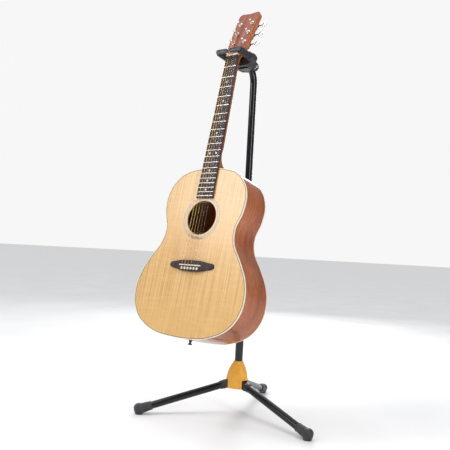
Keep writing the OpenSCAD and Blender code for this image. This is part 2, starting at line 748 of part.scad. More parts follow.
placed() hub_shell();
placed() hub_core();
placed() leg_pins();
placed() knuckle(0);  // knuckle_left
placed() knuckle(1);  // knuckle_right
placed() knuckle(2);  // knuckle_rear
placed() leg(0);  // leg_left
placed() leg(1);  // leg_right
placed() leg(2);  // leg_rear
placed() foot(0);  // foot_left
placed() foot(1);  // foot_right
placed() foot(2);  // foot_rear
placed() lower_tube();
placed() clutch_base();
placed() clutch_collet();
placed() clutch_sleeve();
placed() backrest_collar();
placed() backrest_screw();
placed() backrest_arm();
placed() backrest_pads();
placed() upper_tube();
placed() yoke_bracket();
placed() yoke_pivot_screw();
placed() yoke_spring();
placed() yoke_cradle();
placed() yoke_rivets();
placed() yoke_sleeves();
placed() gate(-1);  // gate_left
placed() gate(1);  // gate_right
placed() soundboard();
placed() body_back();
placed() body_sides();
placed() body_binding();
placed() body_frame();
placed() body_braces();
placed() neck();
placed() headstock_veneer();
placed() fingerboard();
placed() frets();
placed() position_dots();
placed() nut_and_saddle();
placed() bridge();
placed() bridge_pins();
placed() rosette();
placed() strings();
placed() end_pin();
placed() tuner_bushings();
placed() tuner_housings();
placed() tuner_post(1);  // tuner_post_1
placed() tuner_post(2);  // tuner_post_2
placed() tuner_post(3);  // tuner_post_3
placed() tuner_post(4);  // tuner_post_4
placed() tuner_post(5);  // tuner_post_5
placed() tuner_post(6);  // tuner_post_6
placed() tuner_knob(1);  // tuner_knob_1
placed() tuner_knob(2);  // tuner_knob_2
placed() tuner_knob(3);  // tuner_knob_3
placed() tuner_knob(4);  // tuner_knob_4
placed() tuner_knob(5);  // tuner_knob_5
placed() tuner_knob(6);  // tuner_knob_6
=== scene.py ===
"""The looks of an acoustic guitar hanging in a folding floor stand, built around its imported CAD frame."""

import json
import math

import bmesh
import bpy
import numpy as np
from mathutils import Matrix, Vector


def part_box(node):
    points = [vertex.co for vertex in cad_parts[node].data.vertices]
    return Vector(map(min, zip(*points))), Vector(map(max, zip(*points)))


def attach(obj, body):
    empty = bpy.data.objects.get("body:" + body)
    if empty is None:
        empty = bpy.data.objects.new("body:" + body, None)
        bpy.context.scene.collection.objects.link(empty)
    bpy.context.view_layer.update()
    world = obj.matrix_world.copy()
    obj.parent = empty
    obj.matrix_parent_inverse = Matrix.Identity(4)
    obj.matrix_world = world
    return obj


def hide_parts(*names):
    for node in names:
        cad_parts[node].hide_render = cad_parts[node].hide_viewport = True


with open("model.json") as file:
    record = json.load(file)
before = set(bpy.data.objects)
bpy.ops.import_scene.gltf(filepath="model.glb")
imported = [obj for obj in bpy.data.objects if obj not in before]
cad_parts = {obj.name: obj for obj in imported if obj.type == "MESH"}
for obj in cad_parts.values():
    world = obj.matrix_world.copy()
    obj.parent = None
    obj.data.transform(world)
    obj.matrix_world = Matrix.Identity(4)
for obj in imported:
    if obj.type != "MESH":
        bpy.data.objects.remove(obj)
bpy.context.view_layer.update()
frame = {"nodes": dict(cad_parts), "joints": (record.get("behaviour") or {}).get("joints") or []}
MM = 0.001
JOINTS = {j["name"]: j for j in frame["joints"]}


# ---------- frames ----------


def rot_x(degrees):
    return Matrix.Rotation(math.radians(degrees), 4, "X")


def shift(x, y, z):
    return Matrix.Translation(Vector((x, y, z)) * MM)


def basis(origin, x, y, z):
    """A frame with its origin in metres and the given unit axes."""
    m = Matrix((x, y, z)).transposed().to_4x4()
    m.translation = Vector(origin)
    return m


def middle(node):
    low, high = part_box(node)
    return (low + high) / 2


SHAFT = Matrix.Translation((middle("lower_tube").x, middle("lower_tube").y, 0))
NECK_LEAN, HEAD_PITCH, ARM_TILT = 12.5, 14.0, 5.0
NUT_T, HEAD_T, VENEER_T = 5.0, 15.0, 1.5
GUITAR = SHAFT @ shift(0, -118, 1093.6) @ rot_x(-NECK_LEAN)     # +Z up the neck, -Y to the strings
HEAD = GUITAR @ shift(0, 0, NUT_T) @ rot_x(-HEAD_PITCH)
PIVOT = Matrix.Translation(JOINTS["yoke_tilt"]["pos_m"])
CRADLE = PIVOT @ rot_x(-ARM_TILT)                               # -Y along the arms

SCALE = 648.0
JOINT_Z = -SCALE * (1 - 2 ** (-14 / 12))
BODY_LEN, DEPTH_NECK, DEPTH_TAIL = 490.0, 100.0, 118.0
HOLE_Z, HOLE_R = JOINT_Z - 148, 50.0
TUNER_S, TUNER_X = (52, 91, 130), (19.5, 20.5, 21.5)
ARM_X, ARM_Z, ARM_ROOT, ARM_TIP = 37.5, 4.0, -72.0, -118.0
SLEEVE_R = 10.5


# ---------- mesh helpers, all in millimetres inside a frame ----------


def make(name, verts, faces, at, material, body, smooth=True):
    """A mesh object whose vertices are millimetres in frame `at`, riding on a CAD body."""
    mesh = bpy.data.meshes.new(name)
    mesh.from_pydata([Vector(v) * MM for v in verts], [], faces)
    bm = bmesh.new()
    bm.from_mesh(mesh)
    bmesh.ops.recalc_face_normals(bm, faces=bm.faces)
    bm.to_mesh(mesh)
    bm.free()
    for p in mesh.polygons:
        p.use_smooth = smooth
    obj = bpy.data.objects.new(name, mesh)
    bpy.context.scene.collection.objects.link(obj)
    obj.matrix_world = at
    obj.data.materials.append(material)
    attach(obj, body)
    return obj


def soften(obj, width, segments=3, angle=35):
    """Rounds the edges sharper than an angle and keeps the flats flat."""
    b = obj.modifiers.new("edges", "BEVEL")
    b.width, b.segments, b.limit_method = width * MM, segments, "ANGLE"
    b.angle_limit = math.radians(angle)
    b.harden_normals = False
    n = obj.modifiers.new("flats", "WEIGHTED_NORMAL")
    n.keep_sharp = True
    return obj


def bake(obj):
    """Applies the modifiers to the mesh."""
    bpy.context.view_layer.update()
    done = bpy.data.meshes.new_from_object(obj.evaluated_get(bpy.context.evaluated_depsgraph_get()))
    obj.modifiers.clear()
    obj.data = done
    return obj


def sharpen(obj, angle=32):
    """Smooth shading that breaks at edges sharper than an angle."""
    for p in obj.data.polygons:
        p.use_smooth = True
    obj.data.set_sharp_from_angle(angle=math.radians(angle))
    return obj


def prism_data(outline, low, high):
    """Verts and faces of an XZ outline extruded along Y from low to high; each may be a function of (x, z)."""
    n = len(outline)
    depth = [f if callable(f) else (lambda x, z, f=f: f) for f in (low, high)]
    verts = [(x, d(x, z), z) for d in depth for x, z in outline]
    faces = [list(range(n)), list(range(2 * n - 1, n - 1, -1))]
    faces += [[i, (i + 1) % n, n + (i + 1) % n, n + i] for i in range(n)]
    return verts, faces


def ring_data(outer, inner, low, high):
    """A closed band between two XZ outlines of equal length, from depth low to high."""
    n = len(outer)
    depth = [f if callable(f) else (lambda x, z, f=f: f) for f in (low, high)]
    loops = [(outer, depth[0]), (outer, depth[1]), (inner, depth[1]), (inner, depth[0])]
    verts = [(x, d(x, z), z) for line, d in loops for x, z in line]
    faces = []
    for k in range(4):
        a, b = k * n, ((k + 1) % 4) * n
        faces += [[a + i, a + (i + 1) % n, b + (i + 1) % n, b + i] for i in range(n)]
    return verts, faces


def loft_data(rings, closed_ends=True):
    """Quads between rings of equal length."""
    n = len(rings[0])
    verts = [p for ring in rings for p in ring]
    faces = []
    for k in range(len(rings) - 1):
        a, b = k * n, (k + 1) * n
        faces += [[a + i, a + (i + 1) % n, b + (i + 1) % n, b + i] for i in range(n)]
    if closed_ends:
        faces += [list(range(n - 1, -1, -1)), list(range(len(verts) - n, len(verts)))]
    return verts, faces


def lathe_data(profile, n=48, closed=False):
    """A profile of (radius, z) turned about Z. A closed profile makes a ring with a bore."""
    rings = [[(r * math.cos(2 * math.pi * i / n), r * math.sin(2 * math.pi * i / n), z) for i in range(n)]
             for r, z in profile]
    if closed:
        return loft_data(rings + [rings[0]], closed_ends=False)
    return loft_data(rings)


def tube_data(path, radius, sides=10, capped=True):
    """A round tube along a path of points; radius may be a list."""
    path = [Vector(p) for p in path]
    radii = radius if hasattr(radius, "__len__") else [radius] * len(path)
    side = None
    rings = []
    for i, p in enumerate(path):
        t = (path[min(i + 1, len(path) - 1)] - path[max(i - 1, 0)]).normalized()
        if side is None:
            side = t.orthogonal().normalized()
        side = (side - t * side.dot(t)).normalized()
        up = t.cross(side)
        rings.append([p + radii[i] * (math.cos(a) * side + math.sin(a) * up)
                      for a in (2 * math.pi * k / sides for k in range(sides))])
    return loft_data(rings, capped)


def merge(*parts):
    """Joins several (verts, faces) pairs."""
    verts, faces = [], []
    for v, f in parts:
        faces += [[i + len(verts) for i in face] for face in f]
        verts += list(v)
    return verts, faces


def moved(data, matrix):
    """A (verts, faces) pair under a matrix whose translation is in millimetres."""
    return [matrix @ Vector(v) for v in data[0]], data[1]


def place(x=0, y=0, z=0, rx=0, ry=0, rz=0):
    return (Matrix.Translation((x, y, z)) @ Matrix.Rotation(math.radians(rz), 4, "Z")
            @ Matrix.Rotation(math.radians(ry), 4, "Y") @ Matrix.Rotation(math.radians(rx), 4, "X"))


def block_data(size, at):
    x, y, z = (s / 2 for s in size)
    verts = [(at[0] + i * x, at[1] + j * y, at[2] + k * z) for i in (-1, 1) for j in (-1, 1) for k in (-1, 1)]
    return verts, [[0, 1, 3, 2], [4, 6, 7, 5], [0, 4, 5, 1], [2, 3, 7, 6], [0, 2, 6, 4], [1, 5, 7, 3]]


def spline(points, k):
    """A Catmull-Rom curve through 2D points, k steps a span."""
    p = np.array(points, float)
    out = []
    for i in range(len(p) - 1):
        a, b, c, d = p[max(i - 1, 0)], p[i], p[i + 1], p[min(i + 2, len(p) - 1)]
        for j in range(k):
            u = j / k
            out.append(0.5 * (2 * b + (c - a) * u + (2 * a - 5 * b + 4 * c - d) * u * u
                              + (3 * b - a - 3 * c + d) * u ** 3))
    return [tuple(q) for q in out] + [tuple(p[-1])]


def mirrored(half):
    return half + [(-x, z) for x, z in half[-2:0:-1]]


def inset(outline, d):
    """A closed clockwise outline moved inward by d."""
    p = np.array(outline, float)
    t = np.roll(p, -1, 0) - np.roll(p, 1, 0)
    t /= np.linalg.norm(t, axis=1)[:, None]
    return [tuple(q) for q in p + d * np.stack([t[:, 1], -t[:, 0]], 1)]


# ---------- materials ----------


class Shader:
    """A Principled material with short calls for its nodes, on object coordinates in metres."""

    def __init__(self, name, metallic=0.0, coat=0.0, coat_rough=0.04, sheen=0.0, specular=0.5):
        self.material = bpy.data.materials.new(name)
        self.material.use_nodes = True
        self.tree = self.material.node_tree
        self.bsdf = self.tree.nodes["Principled BSDF"]
        self.bsdf.inputs["Metallic"].default_value = metallic
        self.bsdf.inputs["Coat Weight"].default_value = coat
        self.bsdf.inputs["Coat Roughness"].default_value = coat_rough
        self.bsdf.inputs["Sheen Weight"].default_value = sheen
        self.bsdf.inputs["Specular IOR Level"].default_value = specular
        self.normal = None
        self.place = self.tree.nodes.new("ShaderNodeTexCoord").outputs["Object"]

    def node(self, kind, links=(), **values):
        n = self.tree.nodes.new("ShaderNode" + kind)
        for key, value in values.items():
            if key in n.inputs:
                n.inputs[key].default_value = value
            else:
                setattr(n, key, value)
        for socket, source in links:
            self.tree.links.new(source, n.inputs[socket])
        return n

    def mapped(self, scale=(1, 1, 1), rotation=(0, 0, 0)):
        n = self.node("Mapping", [("Vector", self.place)])
        n.inputs["Scale"].default_value = scale
        n.inputs["Rotation"].default_value = [math.radians(a) for a in rotation]
        return n.outputs["Vector"]

    def noise(self, scale, detail=3.0, stretch=(1, 1, 1), rotation=(0, 0, 0), distortion=0.0):
        n = self.node("TexNoise", [("Vector", self.mapped(stretch, rotation))], Scale=scale, Detail=detail)
        n.inputs["Distortion"].default_value = distortion
        return n.outputs["Fac"]

    def cells(self, scale):
        return self.node("TexVoronoi", [("Vector", self.place)], Scale=scale).outputs["Distance"]

    def ramp(self, fac, *stops):
        n = self.node("ValToRGB", [("Fac", fac)])
        while len(n.color_ramp.elements) < len(stops):
            n.color_ramp.elements.new(0.5)
        for e, (at, colour) in zip(n.color_ramp.elements, stops):
            e.position, e.color = at, (*colour, 1)
        return n.outputs["Color"]

    def remap(self, value, low, high, to_low, to_high):
        n = self.node("MapRange", [("Value", value)])
        for key, v in zip(("From Min", "From Max", "To Min", "To Max"), (low, high, to_low, to_high)):
            n.inputs[key].default_value = v
        return n.outputs["Result"]

    def mix(self, fac, a, b, blend="MIX"):
        n = self.node("Mix", data_type="RGBA", blend_type=blend)
        for index, source in ((0, fac), (6, a), (7, b)):
            if hasattr(source, "links"):
                self.tree.links.new(source, n.inputs[index])
            else:
                n.inputs[index].default_value = (*source, 1) if hasattr(source, "__len__") else source
        return n.outputs[2]

    def math(self, operation, a, b=0.0):
        n = self.node("Math", operation=operation)
        for index, source in ((0, a), (1, b)):
            if hasattr(source, "links"):
                self.tree.links.new(source, n.inputs[index])
            else:
                n.inputs[index].default_value = source
        return n.outputs[0]

    def colour(self, socket):
        self.tree.links.new(socket, self.bsdf.inputs["Base Color"])

    def rough(self, socket):
        self.tree.links.new(socket, self.bsdf.inputs["Roughness"])

    def bump(self, height, distance, strength=1.0):
        links = [("Height", height)] + ([("Normal", self.normal)] if self.normal else [])
        n = self.node("Bump", links, Strength=strength)
        n.inputs["Distance"].default_value = distance * MM
        self.normal = n.outputs["Normal"]
        self.tree.links.new(self.normal, self.bsdf.inputs["Normal"])


def paint(name):
    """Gloss black stove enamel with a faint orange peel and rubbed patches."""
    s = Shader(name, coat=0.3, coat_rough=0.05, specular=0.3)
    patches = s.noise(38, 4)
    s.colour(s.ramp(patches, (0.3, (0.003, 0.003, 0.005)), (0.75, (0.008, 0.008, 0.012))))
    s.rough(s.remap(patches, 0.3, 0.75, 0.12, 0.22))
    s.bump(s.noise(420, 2), 0.02, 0.35)
    return s.material


def plastic(name, dark, light, rough, grain=0.03, coat=0.0, scale=1500):
    """Moulded plastic with a spark-eroded grain."""
    s = Shader(name, coat=coat, coat_rough=0.12)
    patches = s.noise(45, 4)
    s.colour(s.ramp(patches, (0.3, dark), (0.72, light)))
    s.rough(s.remap(patches, 0.3, 0.7, rough - 0.05, rough + 0.07))
    s.bump(s.noise(scale, 3), grain, 0.6)
    s.bump(s.noise(90, 2), 0.06, 0.25)
    return s.material


def foam(name):
    """Closed-cell foam: open pores on a soft dark skin, the pits of the pores painted darker as painted shade."""
    s = Shader(name, sheen=0.15, specular=0.25)
    pores = s.cells(780)
    # the pore pits are painted darker than the skin round them: painted shade in the pits
    s.colour(s.mix(s.remap(pores, 0.05, 0.5, 0, 1), (0.010, 0.010, 0.013), (0.024, 0.024, 0.031)))
    s.rough(s.remap(s.noise(160, 4), 0.3, 0.7, 0.82, 0.98))
    s.bump(pores, 0.12, 0.5)
    s.bump(s.noise(120, 3), 0.25, 0.35)
    return s.material


def rubber(name):
    s = Shader(name, sheen=0.15, specular=0.35)
    dust = s.noise(70, 5)
    s.colour(s.ramp(dust, (0.35, (0.02, 0.02, 0.024)), (0.8, (0.055, 0.054, 0.056))))
    s.rough(s.remap(dust, 0.3, 0.8, 0.38, 0.62))
    s.bump(s.noise(900, 3), 0.04, 0.6)
    return s.material


def metal(name, colour, rough_low, rough_high, scratch=(1, 1, 1)):
    s = Shader(name, metallic=1.0)
    smudge = s.noise(110, 4, scratch)
    s.colour(s.ramp(smudge, (0.3, tuple(0.86 * c for c in colour)), (0.7, colour)))
    s.rough(s.remap(smudge, 0.3, 0.7, rough_low, rough_high))
    s.bump(s.noise(700, 2, scratch), 0.01, 0.3)
    return s.material


def wood(name, dark, mid, light, pore, gloss, streak=150, ribbon=16, lean=0.0, pores=0.7, shine=0.1):
    """Straight-grained wood along the neck, lacquered where gloss is over zero."""
    s = Shader(name, coat=gloss, coat_rough=shine, specular=0.25)
    turn = (lean, 0, 0)
    fine = s.noise(streak, 5, (1, 1, 0.025), turn, 0.3)
    broad = s.noise(ribbon, 3, (1, 1, 0.12), turn, 0.8)
    base = s.ramp(s.mix(0.5, fine, broad), (0.32, dark), (0.5, mid), (0.68, light))
    vessel = s.noise(1100, 2, (1, 1, 0.03), turn)
    open_pores = s.remap(vessel, 0.56, 0.68, 0, pores)
    s.colour(s.mix(open_pores, base, pore))
    s.rough(s.remap(fine, 0.3, 0.7, 0.28, 0.42) if gloss else s.remap(fine, 0.3, 0.7, 0.42, 0.6))
    s.bump(open_pores, -0.04, 0.35 if gloss else 0.8)
    return s.material


def spruce():
    """Quartersawn spruce under gloss lacquer: close dark lines, with ray flecks across them painted lighter, partly the
    rays' own tone and partly painted sheen.
    """
    s = Shader("spruce", coat=0.45, coat_rough=0.2)
    lines = s.noise(620, 2, (1, 0.02, 0.006), distortion=0.1)
    broad = s.noise(24, 3, (1, 1, 0.1))
    ray_flecks_and_sheen = s.noise(70, 3, (0.25, 1, 1.5))
    base = s.ramp(lines, (0.36, (0.52, 0.27, 0.085)), (0.5, (0.71, 0.44, 0.17)), (0.64, (0.78, 0.52, 0.22)))
    warm = s.mix(s.remap(broad, 0.3, 0.7, 0.0, 0.35), base, (0.62, 0.33, 0.11))
    # the ray flecks across the grain are real, but their light shimmer is painted sheen
    s.colour(s.mix(s.remap(ray_flecks_and_sheen, 0.45, 0.75, 0.0, 0.22), warm, (0.86, 0.63, 0.32)))
    s.rough(s.remap(lines, 0.3, 0.7, 0.26, 0.36))
    s.bump(lines, 0.02, 0.2)
    return s.material


def rosette_inlay():
    """Rings of black, ivory and a chequered middle band, by distance from the soundhole's centre."""
    s = Shader("rosette_inlay", coat=0.8)
    x, _, z = (s.node("SeparateXYZ", [("Vector", s.place)]).outputs[i] for i in range(3))
    dz = s.math("SUBTRACT", z, HOLE_Z * MM)
    radius = s.math("SQRT", s.math("ADD", s.math("MULTIPLY", x, x), s.math("MULTIPLY", dz, dz)))
    turn = s.math("ARCTAN2", x, dz)
    checks = s.math("SINE", s.math("MULTIPLY", turn, 132.0))
    across = s.math("SINE", s.math("MULTIPLY", radius, 2200.0))
    chequer = s.remap(s.math("MULTIPLY", checks, across), -0.1, 0.1, 0, 1)
    middle_band = s.mix(chequer, (0.11, 0.035, 0.015), (0.62, 0.42, 0.2))
    t = s.remap(radius, (HOLE_R + 6) * MM, (HOLE_R + 14) * MM, 0, 1)
    lines = s.ramp(t, (0.0, (0.01,) * 3), (0.1, (0.01,) * 3), (0.13, (0.75, 0.66, 0.45)), (0.2, (0.01,) * 3),
                   (0.26, (0.3,) * 3), (0.74, (0.3,) * 3), (0.8, (0.01,) * 3), (0.87, (0.75, 0.66, 0.45)),
                   (0.9, (0.01,) * 3))
    inside = s.math("MULTIPLY", s.math("GREATER_THAN", t, 0.24), s.math("LESS_THAN", t, 0.77))
    s.colour(s.mix(inside, lines, middle_band))
    s.rough(s.remap(s.noise(80, 3), 0.3, 0.7, 0.25, 0.35))
    return s.material


def bone(name):
    s = Shader(name, coat=0.2, coat_rough=0.15)
    grain = s.noise(160, 4, (1, 1, 0.2))
    s.colour(s.ramp(grain, (0.3, (0.70, 0.63, 0.47)), (0.7, (0.84, 0.79, 0.66))))
    s.rough(s.remap(grain, 0.3, 0.7, 0.25, 0.4))
    s.bump(s.noise(700, 2), 0.01, 0.3)
    return s.material


def wound_string():
    """Bronze winding: fine turns across the string, with painted shade in the grooves between turns and a painted
    highlight on each turn's crest.
    """
    s = Shader("wound_bronze", metallic=1.0)
    turns = s.node("TexWave", [("Vector", s.place)], bands_direction="Z", Scale=420.0).outputs["Fac"]
    # the ramp paints the grooves between the turns darker and their crests lighter: painted shade and painted highlight
    s.colour(s.ramp(turns, (0.1, (0.62, 0.38, 0.17)), (0.6, (0.84, 0.58, 0.30))))
    s.rough(s.remap(s.noise(90, 3), 0.3, 0.7, 0.22, 0.38))
    s.bump(turns, 0.03, 0.3)
    return s.material


def pale_floor():
    s = Shader("pale_floor", specular=0.2)
    mottling = s.noise(3, 4)
    s.colour(s.ramp(mottling, (0.3, (0.86, 0.86, 0.86)), (0.7, (0.9, 0.9, 0.9))))
    s.rough(s.remap(mottling, 0.3, 0.7, 0.55, 0.7))
    s.bump(s.noise(240, 3), 0.05, 0.2)
    return s.material


BLACK = paint("gloss_black_paint")
YELLOW = plastic("golden_plastic", (0.80, 0.36, 0.035), (0.90, 0.45, 0.06), 0.36, 0.02)
ROOT_BLACK = plastic("leg_root_plastic", (0.008, 0.008, 0.010), (0.016, 0.016, 0.019), 0.3, 0.02)
CLUTCH = plastic("clutch_plastic", (0.010, 0.010, 0.014), (0.020, 0.020, 0.026), 0.16, 0.01, coat=0.5)
YOKE = plastic("charcoal_plastic", (0.016, 0.016, 0.021), (0.030, 0.030, 0.038), 0.44, 0.05, scale=1100)
GATE = plastic("slate_plastic", (0.040, 0.042, 0.055), (0.060, 0.062, 0.080), 0.38, 0.03)
FOAM, RUBBER = foam("black_foam"), rubber("foot_rubber")
CHROME = metal("chrome", (0.83, 0.83, 0.85), 0.05, 0.13)
STEEL = metal("plain_steel", (0.6, 0.6, 0.62), 0.24, 0.4)
NICKEL = metal("fret_nickel", (0.80, 0.79, 0.76), 0.2, 0.3)
TUNER_BLACK = plastic("tuner_black", (0.012, 0.012, 0.014), (0.024, 0.024, 0.028), 0.25, 0.01, coat=0.3)
MAHOGANY = wood("mahogany", (0.20, 0.045, 0.012), (0.34, 0.088, 0.025), (0.47, 0.15, 0.048), (0.08, 0.018, 0.007), 0.5)
SIDE_WOOD = wood("mahogany_edge", (0.36, 0.10, 0.022), (0.50, 0.165, 0.042), (0.62, 0.24, 0.07), (0.22, 0.055, 0.014), 0.5)
SAPELE = wood("sapele_face", (0.11, 0.018, 0.006), (0.29, 0.056, 0.014), (0.47, 0.12, 0.032), (0.05, 0.010, 0.004), 0.22,
              streak=150, ribbon=46, shine=0.16)
ROSEWOOD = wood("rosewood", (0.020, 0.012, 0.011), (0.052, 0.033, 0.032), (0.10, 0.065, 0.06), (0.008, 0.005, 0.004), 0.0,
                streak=260, ribbon=40, pores=0.85)
INNER = wood("inner_wood", (0.42, 0.26, 0.12), (0.55, 0.37, 0.19), (0.66, 0.47, 0.27), (0.30, 0.17, 0.07), 0.0,
             lean=NECK_LEAN)
SPRUCE, BONE, ROSETTE = spruce(), bone("bone"), rosette_inlay()
BRONZE, PLAIN = wound_string(), metal("plain_string", (0.8, 0.79, 0.77), 0.15, 0.25)

# The CAD nodes that stay in view, with their finish
FINISH = {
    "lower_tube": BLACK, "upper_tube": BLACK, "leg_left": BLACK, "leg_right": BLACK, "leg_rear": BLACK,
    "backrest_arm": BLACK, "yoke_bracket": BLACK, "hub_core": ROOT_BLACK, "clutch_collet": ROOT_BLACK,
    "leg_pins": STEEL, "backrest_screw": STEEL, "yoke_spring": STEEL, "yoke_pivot_screw": CHROME,
    "body_frame": INNER, "body_braces": INNER, "frets": NICKEL, "position_dots": BONE,
}
for node, material in FINISH.items():
    mesh = frame["nodes"][node].data
    mesh.materials.clear()
    mesh.materials.append(material)


# ---------- tripod ----------

SLOT_HALF, SLOT_TOP, HUB_LOW, HUB_TOP = 12.2, 109.0, 82.0, 165.0


def leg_frame(side):
    """Origin on the leg's pivot, +Z out along the leg, +X along the pin."""
    j = JOINTS[f"leg_{side}_fold"]
    x = Vector(j["axis"])
    pin = Vector(j["pos_m"])
    out = Vector((x.y, -x.x, 0))
    foot = middle(f"foot_{side}")
    sole = Vector((SHAFT.translation.x, SHAFT.translation.y, 0)) + out * 0.300 + Vector((0, 0, 0.015))
    z = (sole - pin).normalized()
    return basis(pin, x, z.cross(x), z), (sole - pin).length / MM


def hub():
    """Three convex panels between the legs, sunk inside a raised collar and raised ribs over the slots."""
    axes = [Vector(JOINTS[f"leg_{s}_fold"]["axis"]) for s in ("left", "right", "rear")]
    turns = [math.atan2(-a.x, a.y) for a in axes]               # headings of the legs in the plan
    corner_r, corner_at, flat = 19.0, 20.0, 29.0
    around, up = 432, 90

    def apart(a, b):
        return abs((a - b + math.pi) % (2 * math.pi) - math.pi)

    def plan_radius(a):
        """The rounded triangle's radius at heading a, its flats a little crowned."""
        off = min(apart(a, t + math.pi) for t in turns)
        across = flat * math.tan(off)
        if across < corner_at * math.sin(math.pi / 3):
            return flat / math.cos(off) + 1.6 * (1 - (across / 17.32) ** 2) ** 2
        near = min(apart(a, t) for t in turns)
        return corner_at * math.cos(near) + math.sqrt(corner_r ** 2 - (corner_at * math.sin(near)) ** 2)

    def bell(z):
        """The largest radius at height z."""
        u = min(1.0, (HUB_TOP - z) / (HUB_TOP - 104))
        return 13.4 + 23.4 * (1 - (1 - u) ** 1.8)

    def step(value, edge, width=0.18):
        return 1 / (1 + math.exp(max(-60, min(60, (value - edge) / width))))

    rings = []
    for j in range(up + 1):
        z = HUB_LOW + (HUB_TOP - HUB_LOW) * j / up
        limit = bell(z)
        k = min(1.0, limit / 36.8)
        ring = []
        for i in range(around):
            a = 2 * math.pi * i / around
            plan = min(plan_radius(a), 37.5) * k ** 0.55
            r = -1.6 * math.log(math.exp(-plan / 1.6) + math.exp(-limit / 1.6)) + 0.3
            side = r * math.sin(min(apart(a, t) for t in turns))
            if z < SLOT_TOP + 4.6:
                raised = step(side, SLOT_HALF + 4.4)
            else:
                taper = (z - SLOT_TOP - 4.6) / (HUB_TOP - SLOT_TOP - 9)
                raised = step(side, (SLOT_HALF + 0.4) * (1 - taper) + 5.2 * taper) * 0.8
            collar = 1 - step(z, HUB_TOP - 5, 0.3)
            hem = step(z, HUB_LOW + 1.6, 0.3) * 0.5
            r += 1.25 * (max(raised, collar, hem) - 1)
            ring.append((r * math.cos(a), r * math.sin(a), z))
        rings.append(ring)
    for z in (HUB_TOP, HUB_LOW):
        rings.append([(12.55 * math.cos(2 * math.pi * i / around), 12.55 * math.sin(2 * math.pi * i / around), z)
                      for i in range(around)])
    shell = make("hub_bell", *loft_data(rings + [rings[0]], closed_ends=False), SHAFT, YELLOW, "hub")
    bm = bmesh.new()
    bm.from_mesh(shell.data)
    bmesh.ops.remove_doubles(bm, verts=bm.verts, dist=1e-7)
    bmesh.ops.recalc_face_normals(bm, faces=bm.faces)
    bm.to_mesh(shell.data)
    bm.free()
    cutters = []
    for x in axes:
        f = basis(SHAFT.translation, x, -Vector((x.y, -x.x, 0)), Vector((0, 0, 1)))
        cut = make("slot_cutter", *block_data((2 * SLOT_HALF, 60, 60), (0, -41.4, SLOT_TOP - 30)), f, YELLOW, "hub")
        m = shell.modifiers.new("slot", "BOOLEAN")
        m.object, m.operation, m.solver = cut, "DIFFERENCE", "EXACT"
        cutters.append(cut)
    bake(shell)
    for cut in cutters:
        bpy.data.objects.remove(cut)
    sharpen(shell, 42)
    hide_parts("hub_shell")


def leg_root(side):
    """The moulded root that turns in the hub's slot and steps down into the tube."""
    at, _ = leg_frame(side)
    side_view = [(11 * math.cos(a), -11 * math.sin(a)) for a in np.linspace(0, math.pi, 19)]    # round about the pin
    side_view += [(-11, 24), (-9.6, 27), (9.6, 27), (11, 24)]
    w = 11.7
    n = len(side_view)
    verts = [(x, y, z) for x in (-w, w) for y, z in side_view]
    faces = [list(range(n)), list(range(2 * n - 1, n - 1, -1))] + [[i, (i + 1) % n, n + (i + 1) % n, n + i] for i in range(n)]
    web = lathe_data([(0.01, 20), (12.4, 20), (13.0, 20.6), (13.0, 31.4), (12.2, 32.9), (11.2, 33.2), (0.01, 33.2)], 48)
    rib = [block_data((2.4, 3.0, 22), (x, -10.6, 12)) for x in (-7, 0, 7)]
    root = make(f"leg_root_{side}", *merge((verts, faces), web, *rib), at, ROOT_BLACK, f"leg_{side}")
    soften(root, 0.8, 2)
    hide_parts(f"knuckle_{side}")


def foot(side):
    """A rubber boot: a sock over the tube, running into a ball with a groove round it and a flat sole."""
    at, span = leg_frame(side)
    sock = [(11.15, -22), (11.15, -38.2), (12.3, -38.5), (13.2, -38.1), (13.5, -37.2), (13.4, -35.8), (13.0, -35.0),
            (13.1, -33), (13.5, -28), (14.3, -20), (14.7, -12), (14.8, -6), (14.4, 0), (13.4, 4), (11, 7), (0.05, 8)]
    ball = [(0.05, 0), (10.4, 0), (11.6, 0.7), (12.2, 2.2), (13.6, 6.0), (15.2, 10.6), (16.2, 13.6), (16.3, 14.4),
            (15.7, 14.9), (15.7, 15.6), (16.3, 16.1), (16.8, 17.0), (16.9, 18.5), (16.3, 22.2), (14.6, 25.8), (11.8, 28.8),
            (8, 31.0), (4, 32.0), (0.05, 32.3)]
    to_shaft = SHAFT.inverted() @ at @ shift(0, 0, span)
    sole = to_shaft.translation / MM
    rotation = to_shaft.to_3x3().to_4x4()
    upper = moved(lathe_data(spline(sock, 3), 64), Matrix.Translation(sole) @ rotation)
    lower = moved(lathe_data(ball[:3] + spline(ball[3:], 3), 64), place(sole.x, sole.y, 0))
    boot = make(f"boot_{side}", *merge(upper, lower), SHAFT, RUBBER, f"leg_{side}")
    sharpen(boot, 40)
    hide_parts(f"foot_{side}")


hub()
for side in ("left", "right", "rear"):
    leg_root(side)
    foot(side)


# ---------- shaft ----------


def facet_ring(r, z, sides=8, turn=22.5, corner=0.13):
    """A polygon ring with its corners cut, so that each edge reads as a narrow facet."""
    out = []
    for i in range(sides):
        for s in (-1, 1):
            a = math.radians(turn + 360 * i / sides) + s * corner
            q = (a - math.radians(turn)) % (2 * math.pi / sides)
            q = min(q, 2 * math.pi / sides - q)
            rr = r * math.cos(math.pi / sides) / math.cos(math.pi / sides - q)
            out.append((rr * math.cos(a), rr * math.sin(a), z))
    return out


